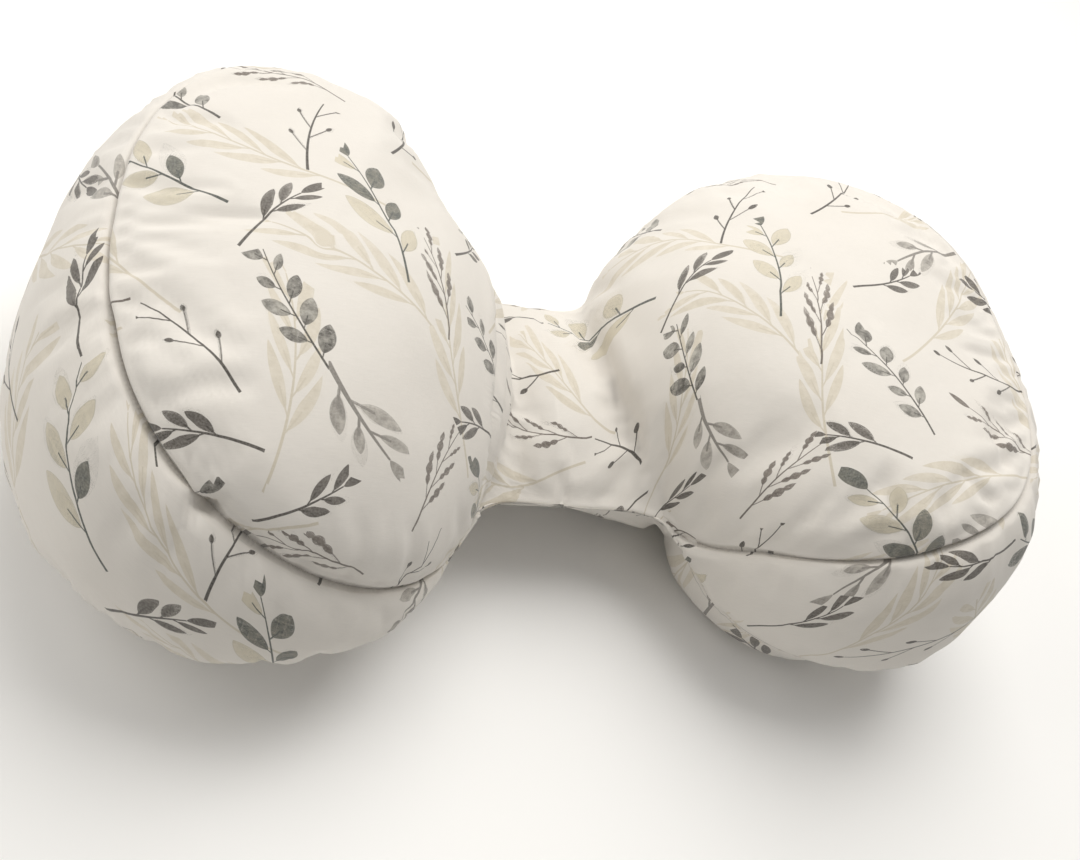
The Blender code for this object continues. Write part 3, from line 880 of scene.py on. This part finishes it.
# kind, across, along, turn in degrees, mirrored; millimetres on the flat cloth
DARK_PRINT = (
    ("twig", -28, 108, 172, 0), ("fiveleaf", -20, 72, 176, 1), ("seedpod", -84, 88, 214, 0),
    ("olive", 42, 112, 133, 0), ("slate", 36, 42, 146, 1), ("fiveleaf", -112, 38, 40, 0),
    ("twig", -34, 2, 196, 1), ("olive", -98, -34, 134, 1), ("lobed", -14, -38, 181, 0),
    ("fiveleaf", 90, 10, 52, 1), ("twig", 50, -62, 126, 0), ("seedpod", -6, -104, 224, 1),
    ("olive", 98, -44, 118, 0), ("fiveleaf", 58, -112, 163, 0),
    ("fiveleaf", -106, -84, 178, 0), ("slate", -62, -132, 142, 0),
    ("twig", 118, 82, 82, 1), ("lobed", 112, 134, 160, 1),
    ("seedpod", 128, -96, 300, 0), ("lobed", -148, -8, 96, 1), ("twig", -146, 118, 60, 0),
    ("olive", 12, -152, 8, 1), ("fiveleaf", 100, -146, 20, 0), ("slate", 152, 26, 100, 0),
    ("lobed", -150, -122, 70, 0),
)
PALE_PRINT = (
    ("willow", -66, 34, 58, 0), ("willow", 4, -2, 132, 1), ("willow", -40, -80, 206, 0),
    ("willow", 96, 52, 164, 1), ("willow", 96, -86, 74, 0), ("willow", -140, -60, 112, 1),
    ("willow", -90, 128, 28, 0), ("willow", 22, -142, 176, 1), ("willow", 52, 134, 196, 0),
    ("willow", 150, -20, 140, 0),
)
REPEAT = (0.332, 0.304)
THREAD_PITCH = 0.00042
STITCH = 0.0027
SEAM_LINE = 0.0017           # how far from a seam the cloth is pinched and darkened with painted shade
ROW_LINE = 0.0008            # half width of a row of stitches, darkened with painted shade
LIP_WIDTH = 0.0050           # from the middle of the zip to the stitches of each lip


def owners(centres, instances):
    """For each place on the flat cloth, the motif it belongs to and that motif's place."""
    best = np.full(len(centres), 1e9)
    owner = np.zeros(len(centres), int)
    origin = np.zeros((len(centres), 2))
    for number, (kind, u, v, turn, _) in enumerate(instances):
        half = MOTIFS[kind]["length"] / 2 + MOTIFS[kind]["leaf"] * 0.6
        spread = half * (0.62 if kind == "willow" else 0.5)
        c, s = cos(radians(turn)), sin(radians(turn))
        offset = centres - np.array((u, v)) / 1000
        tile = np.round(offset / np.array(REPEAT))
        for du in (-1, 0, 1):
            for dv in (-1, 0, 1):
                shift = (tile + np.array((du, dv))) * np.array(REPEAT)
                place = (offset - shift) * 1000
                x = (place[:, 0] * c + place[:, 1] * s) / half
                y = (-place[:, 0] * s + place[:, 1] * c) / spread
                gap = np.hypot(x, y)
                closer = gap < best
                best[closer] = gap[closer]
                owner[closer] = number
                origin[closer] = (shift + np.array((u, v)) / 1000)[closer]
    return owner, origin


def local_place(flat, owner, origin, instances):
    """Places on the cloth as millimetres in their own motif, with a random seed."""
    turns = np.array([radians(entry[3]) for entry in instances])[owner]
    mirror = np.array([-1.0 if entry[4] else 1.0 for entry in instances])[owner]
    halves = np.array([MOTIFS[entry[0]]["length"] / 2 for entry in instances])[owner]
    offset = (flat - origin) * 1000
    c, s = np.cos(turns), np.sin(turns)
    x = offset[:, 0] * c + offset[:, 1] * s + halves
    y = (-offset[:, 0] * s + offset[:, 1] * c) * mirror
    seed = owner * 13.0 + np.round(origin[:, 0] / REPEAT[0]) * 5
    return np.stack([x, y, seed], 1)


def sprig(net, place, motif):
    """One motif: how much ink there is, its lines, a random tone, and its leaves' rims.

    Leaves grow from the stem's two sides, one in each cell of the motif's spacing.
    """
    x, y, seed = net.split(place)
    turn = radians(motif["turn"])
    # the bent stem is laid straight, and leaves are counted along it in slanting cells
    y = y - (x * x) * motif["bend"] + x * (motif["bend"] * motif["length"] / 2)
    side = net.math("SIGN", y)
    away = net.math("ABSOLUTE", y)
    spacing = motif["spacing"]
    back = x - away / tan(turn) - side * (spacing / 4)
    cell = net.math("FLOOR", back / spacing + 0.5)
    # a leaf's own place: out from the stem along it, and aside from its middle
    out = away / sin(turn) + (back - cell * spacing) * cos(turn)
    dice = net.random(cell * 3.17 + side * 7.31 + seed)
    aside = (back - cell * spacing) * sin(turn)
    aside = net.math("ABSOLUTE", aside - (out * out) * motif["curl"] * 0.5
                     + (dice[2] - 0.5) * 1.2)
    size = (dice[0] * 0.5 + 0.75) * (1.06 - cell * (0.42 * spacing / motif["length"]))
    span = size * motif["leaf"]
    tt = (out - motif["petiole"]) / span
    shape = net.math("MAXIMUM", tt * (1.0 - tt) * 4.0, 0.0)
    width = net.math("POWER", shape, 0.8) * size * motif["width"]
    if motif["lobes"]:
        wave = net.math("ABSOLUTE", net.math("SINE", tt * (pi * motif["lobes"])))
        width = width * (wave * 0.6 + 0.45)
    # ink of the leaves, of their stalks, of the stem and of the leaf at its tip
    first = net.math("GREATER_THAN", cell * spacing, motif["first"])
    last = net.math("LESS_THAN", cell * spacing, motif["length"] - spacing * 0.3)
    inside = first * last
    leaf = net.clamp((width - aside) * 4.0) * inside
    thin = net.math("LESS_THAN", out, span * 0.35 + motif["petiole"])
    stalk = net.clamp((motif["stem"] * 0.7 - aside) * 4.0) * inside * thin
    taper = motif["stem"] * 1.25 - x * (0.65 * motif["stem"] / motif["length"])
    stem = net.clamp((taper - away) * 4.0)
    stem = stem * net.math("GREATER_THAN", x, 0.0) * net.math("LESS_THAN", x, motif["length"])
    end = (x - motif["length"]) / (motif["leaf"] * 0.85)
    tip = net.math("MAXIMUM", end * (1.0 - end) * 4.0, 0.0)
    tip = net.clamp((net.math("POWER", tip, 0.8) * (motif["width"] * 0.85) - away) * 4.0)
    ink = net.largest(leaf, tip, stalk, stem)
    lines = net.largest(stalk, stem)
    past = net.math("GREATER_THAN", tip, leaf)
    tone = dice[1] * (1.0 - past) + past * 0.3
    rim = net.clamp(1.0 - (width - aside) * 1.3) * leaf
    return ink, lines, tone, rim


def fabric(name, kind=None):
    """Woven cotton with a soft print; kind is the dark motif, None for plain lining."""
    net = Net(name)
    flat = net.attribute("cloth")
    u, v, _ = net.split(flat)
    wash = net.noise(flat, 16.0, 3.0)
    ground = net.colour_mix(wash, linear(220, 214, 205), linear(227, 222, 214))
    colour = ground
    thread = 2 * pi / THREAD_PITCH
    warp = net.math("SINE", u * thread)
    weft = net.math("SINE", v * thread)
    slub = net.noise(net.node("ShaderNodeVectorMath", {0: flat, 1: (1.0, 14.0, 1.0)},
                              operation="MULTIPLY"), 140.0, 2.0)
    if kind:
        mottle = net.noise(flat, 190.0, 4.0, 0.62)
        for layer, chosen in (("print_pale", "willow"), ("print_dark", kind)):
            motif = MOTIFS[chosen]
            ink, lines, dice, rim = sprig(net, net.attribute(layer), motif)
            wet = net.clamp((mottle - 0.5) * 3.2 + 0.5)
            if chosen == "slate":
                pick = net.math("GREATER_THAN", dice, 0.52)
                share = net.clamp(pick * 0.9 + wet * 0.22)
            elif chosen in ("olive", "seedpod"):
                share = net.clamp(wet * 0.75 + dice * 0.55 - 0.2)
            else:
                share = net.clamp(wet * 0.6 + dice * 0.3)
            share = share * (1.0 - lines) * (1.0 - rim * 0.35)
            tint = net.colour_mix(share, linear(*motif["dark"]), linear(*motif["light"]))
            dry = net.noise(flat, 900.0, 2.0)
            cover = ink * net.clamp(dry * 0.5 + 0.68)
            colour = net.colour_mix(cover, colour, tint)
    # painted shade along the seams; it stays 0 on the plain lining
    painted_seam_shade = 0.0
    if kind:
        gap, along, zipped = net.split(net.attribute("sewing"))
        edge = net.clamp(1.0 - gap / SEAM_LINE)
        row = net.math("ABSOLUTE", gap - LIP_WIDTH)
        row = net.clamp(1.0 - row / ROW_LINE) * zipped
        stitch = net.math("SINE", along * (2 * pi / STITCH)) * net.largest(edge, row)
        # painted shade: darker in the crease of every seam, much darker in the gap between the
        # zip's lips, and along the lips' stitch rows
        painted_seam_shade = edge * 0.05 + edge * zipped * 0.40 + row * 0.45
    shade = net.clamp(warp * weft * 0.05 + slub * 0.10 + 0.91 - painted_seam_shade)
    colour = net.node("ShaderNodeVectorMath", {0: colour, "Scale": shade},
                      operation="SCALE")
    fuzz = net.noise(flat, 420.0, 3.0)
    creased = net.noise(flat, 55.0, 5.0, 0.6)
    weave = net.bump(warp * weft * 0.5 + slub * 0.6, 0.00006, 0.8)
    soft = net.bump(creased, 0.0011, 0.35, weave)
    if kind:
        soft = net.bump(stitch * 0.5 - row * 1.5, 0.0003, 0.5, soft)
    net.surface(colour, net.clamp(fuzz * 0.12 + 0.78), soft)
    net.settle(Sheen_Weight=0.25, Sheen_Roughness=0.6, Specular_IOR_Level=0.25)
    return net.material


def tape_material():
    """Close twill zip tape."""
    net = Net("zip_tape_twill")
    place = net.node("ShaderNodeTexCoord", output="Object")
    rib = net.node("ShaderNodeTexWave", {"Vector": place, "Scale": 1100.0,
                                         "Distortion": 0.6, "Detail": 1.0},
                   output="Fac", bands_direction="DIAGONAL")
    worn = net.noise(place, 120.0, 4.0)
    tint = net.colour_mix(net.clamp(rib * 0.5 + worn * 0.5), linear(206, 199, 186),
                          linear(228, 222, 211))
    net.surface(tint, net.clamp(worn * 0.2 + 0.7), net.bump(rib, 0.00012, 0.6))
    net.settle(Sheen_Weight=0.2)
    return net.material


def coil_material():
    """Nylon turns of the zip's coil."""
    net = Net("zip_nylon_coil")
    place = net.node("ShaderNodeTexCoord", output="Object")
    x, y, _ = net.split(place)
    turn = net.math("ARCTAN2", y - ARC_Y, x - ARC_X)
    turns = net.math("SINE", turn * (2 * pi * ARC_RADIUS / 0.00115))
    worn = net.noise(place, 300.0, 3.0)
    # painted shade: the coil's colour goes dark in the gaps between its turns and light on the
    # turns
    tint = net.colour_mix(net.clamp(turns * 0.4 + 0.5), linear(150, 143, 131),
                          linear(214, 208, 196))
    net.surface(tint, net.clamp(worn * 0.2 + 0.32), net.bump(turns, 0.0003, 0.9))
    return net.material


def metal_material():
    """Satin nickel with fine scratches and a patchy, worn tone."""
    net = Net("zip_satin_nickel")
    place = net.node("ShaderNodeTexCoord", output="Object")
    stretched = net.node("ShaderNodeVectorMath", {0: place, 1: (1.0, 9.0, 3.0)},
                         operation="MULTIPLY")
    brushed = net.noise(stretched, 900.0, 4.0, 0.7)
    worn = net.noise(place, 260.0, 5.0, 0.6)
    tint = net.colour_mix(worn, linear(168, 165, 158), linear(206, 203, 197))
    net.surface(tint, net.clamp(brushed * 0.22 + worn * 0.18 + 0.16),
                net.bump(brushed, 0.00004, 0.5))
    net.settle(Metallic=1.0)
    return net.material


# ---- pieces ----
def corner_vertices(data):
    corners = np.zeros(len(data.loops), int)
    data.loops.foreach_get("vertex_index", corners)
    return corners


def corner_attribute(data, name, values):
    made = data.attributes.new(name, "FLOAT_VECTOR", "CORNER")
    made.data.foreach_set("vector", values.astype(np.float32).reshape(-1))


def cover_piece(name, cloth, points, chosen, prints):
    """A panel object from one or two spans of the cloth, with its print laid on."""
    vertices, flat, sewing, faces = [], [], [], []
    for side, panel, first, last, number in cloth.spans:
        if (side, panel) in chosen:
            shift = len(vertices) - first
            vertices += [tuple(p) for p in points[first:last]]
            flat.append(cloth.flat[first:last])
            sewing.append(cloth.sewing[first:last])
            faces += [tuple(v + shift for v in face) for face in cloth.faces[number]]
    flat = np.concatenate(flat)
    data = bpy.data.meshes.new(name)
    data.from_pydata(vertices, [], faces)
    data.shade_smooth()
    corners = corner_vertices(data)
    sizes = np.array([len(face) for face in faces])
    starts = np.concatenate(([0], np.cumsum(sizes)[:-1]))
    places = flat[corners]
    centres = np.add.reduceat(places, starts) / sizes[:, None]
    of_face = np.repeat(np.arange(len(faces)), sizes)
    kinds = {}
    for layer, instances in (("print_dark", DARK_PRINT), ("print_pale", PALE_PRINT)):
        owner, origin = owners(centres, instances)
        kinds[layer] = owner
        corner_attribute(data, layer, local_place(places, owner[of_face],
                                                  origin[of_face], instances))
    corner_attribute(data, "cloth", np.concatenate(
        [places, np.zeros((len(places), 1))], axis=1))
    corner_attribute(data, "sewing", np.concatenate(sewing)[corners])
    names = list(prints)
    for entry in names:
        data.materials.append(prints[entry])
    index = np.array([names.index(entry[0]) for entry in DARK_PRINT])[kinds["print_dark"]]
    data.polygons.foreach_set("material_index", index.astype(np.int32))
    made = placed(name, data)
    weld(data)
    shell = made.modifiers.new("thickness", "SOLIDIFY")
    shell.thickness = CLOTH_THICKNESS
    shell.offset = -1.0
    return made


def weld(data):
    """Join the two halves of a panel where they meet over the bridge."""
    mesh = bmesh.new()
    mesh.from_mesh(data)
    bmesh.ops.remove_doubles(mesh, verts=mesh.verts, dist=0.00002)
    bmesh.ops.dissolve_degenerate(mesh, edges=mesh.edges, dist=0.00002)
    mesh.to_mesh(data)
    mesh.free()


def liner_piece(cloth, points, finish):
    """The sewn inner pillow, a closed form a few millimetres inside the cover."""
    normals = cloth.normals()
    groups = cloth.group.max() + 1
    inside = np.zeros((groups, 3))
    inside[cloth.group] = points - normals * LINER_DEPTH
    data = body_mesh(cloth)
    data.vertices.foreach_set("co", inside.reshape(-1))
    data.name = "inner_pillow"
    made = placed("inner_pillow", data)
    coarse = remeshed(made)
    made.modifiers.clear()
    made.data = coarse
    coarse.shade_smooth()
    place = np.zeros(len(coarse.vertices) * 3)
    coarse.vertices.foreach_get("co", place)
    place = place.reshape(-1, 3)
    corner_attribute(coarse, "cloth", place[corner_vertices(coarse)])
    coarse.materials.clear()
    coarse.materials.append(finish)
    return made


def repaint(finish, *nodes):
    for node in nodes:
        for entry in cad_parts[node].material_slots:
            entry.link = "OBJECT"
            entry.material = finish


CAMERA_TARGET = (-0.014, -0.029, 0.09)
CAMERA_ANGLES = (-0.613, 0.8493, 0.5901)     # azimuth, elevation, roll
CAMERA_DISTANCE = 0.7907
CAMERA_LENS = 41.08
LAMP_TARGET = (0, 0, 0.08)
LAMP_COLOUR = (1.0, 0.985, 0.96)
LAMPS = (("key", (0.30, 0.75, 1.6), 1.6, 32),    # name, place, size, watts
         ("fill", (-1.5, 0.4, 1.1), 1.4, 11))
SKY_COLOUR = (1.0, 0.99, 0.975, 1)
SKY_STRENGTH = 0.36
FLOOR_REACH_OUT = 6.0


def camera_and_light():
    """Camera at the photograph's angle, a pale floor, soft light from above."""
    azimuth, elevation, roll = CAMERA_ANGLES
    target = Vector(CAMERA_TARGET)
    back = Vector((sin(azimuth) * cos(elevation), -cos(azimuth) * cos(elevation),
                   sin(elevation)))
    right = (-back).cross(Vector((0, 0, 1))).normalized()
    up = right.cross(-back)
    turned = right * cos(roll) + up * sin(roll)
    upright = -right * sin(roll) + up * cos(roll)
    data = bpy.data.cameras.new("camera")
    data.sensor_width = 36
    data.lens = CAMERA_LENS
    camera = placed("camera", data)
    place = target + back * CAMERA_DISTANCE
    camera.matrix_world = Matrix((
        (turned.x, upright.x, back.x, place.x), (turned.y, upright.y, back.y, place.y),
        (turned.z, upright.z, back.z, place.z), (0, 0, 0, 1)))
    bpy.context.scene.camera = camera
    for name, spot, size, power in LAMPS:
        lamp = bpy.data.lights.new(name, "AREA")
        lamp.size = size
        lamp.energy = power
        lamp.color = LAMP_COLOUR
        made = placed(name, lamp)
        made.location = spot
        aim = Vector(spot) - Vector(LAMP_TARGET)
        made.rotation_euler = aim.to_track_quat("Z", "Y").to_euler()
    world = bpy.context.scene.world or bpy.data.worlds.new("studio")
    bpy.context.scene.world = world
    world.use_nodes = True
    sky = world.node_tree.nodes["Background"]
    sky.inputs["Color"].default_value = SKY_COLOUR
    sky.inputs["Strength"].default_value = SKY_STRENGTH
    bpy.context.scene.view_settings.view_transform = "Standard"
    net = Net("pale_floor")
    place = net.node("ShaderNodeTexCoord", output="Object")
    net.feed(net.shader.inputs["Base Color"],
             net.colour_mix(net.noise(place, 3.0), linear(244, 243, 240),
                            linear(248, 247, 245)))
    net.settle(Roughness=0.9)
    data = bpy.data.meshes.new("floor")
    reach = FLOOR_REACH_OUT
    data.from_pydata([(-reach, -reach, 0), (reach, -reach, 0), (reach, reach, 0),
                      (-reach, reach, 0)], [], [(0, 1, 2, 3)])
    data.materials.append(net.material)
    floor = placed("floor", data)


camera_and_light()
cloth = Cloth()
surface = sewn(cloth)
prints = {kind: fabric("printed_" + kind, kind) for kind in MOTIFS if kind != "willow"}

top = cover_piece("cover_top_panel", cloth, surface,
                  {("left", "top"), ("right", "top")}, prints)
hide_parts("cover_left_top_panel", "cover_right_top_panel")
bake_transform(top)

under = cover_piece("cover_bottom_panel", cloth, surface,
                    {("left", "under"), ("right", "under")}, prints)
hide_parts("cover_left_bottom_panel", "cover_right_bottom_panel")
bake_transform(under)

for side in ("left", "right"):
    wall = cover_piece("cover_%s_side_wall_cloth" % side, cloth, surface,
                       {(side, "wall")}, prints)
    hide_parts("cover_%s_side_wall" % side)
    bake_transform(wall)

inner = liner_piece(cloth, surface, fabric("plain_lining"))
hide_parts("inner_pillow_left", "inner_pillow_right")
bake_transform(inner)

repaint(tape_material(), "zip_tape_upper", "zip_tape_lower")
repaint(coil_material(), "zip_coil_upper", "zip_coil_lower")
repaint(metal_material(), "zip_slider_body", "zip_pull_tab", "zip_top_stop_upper",
        "zip_top_stop_lower", "zip_bottom_stop")
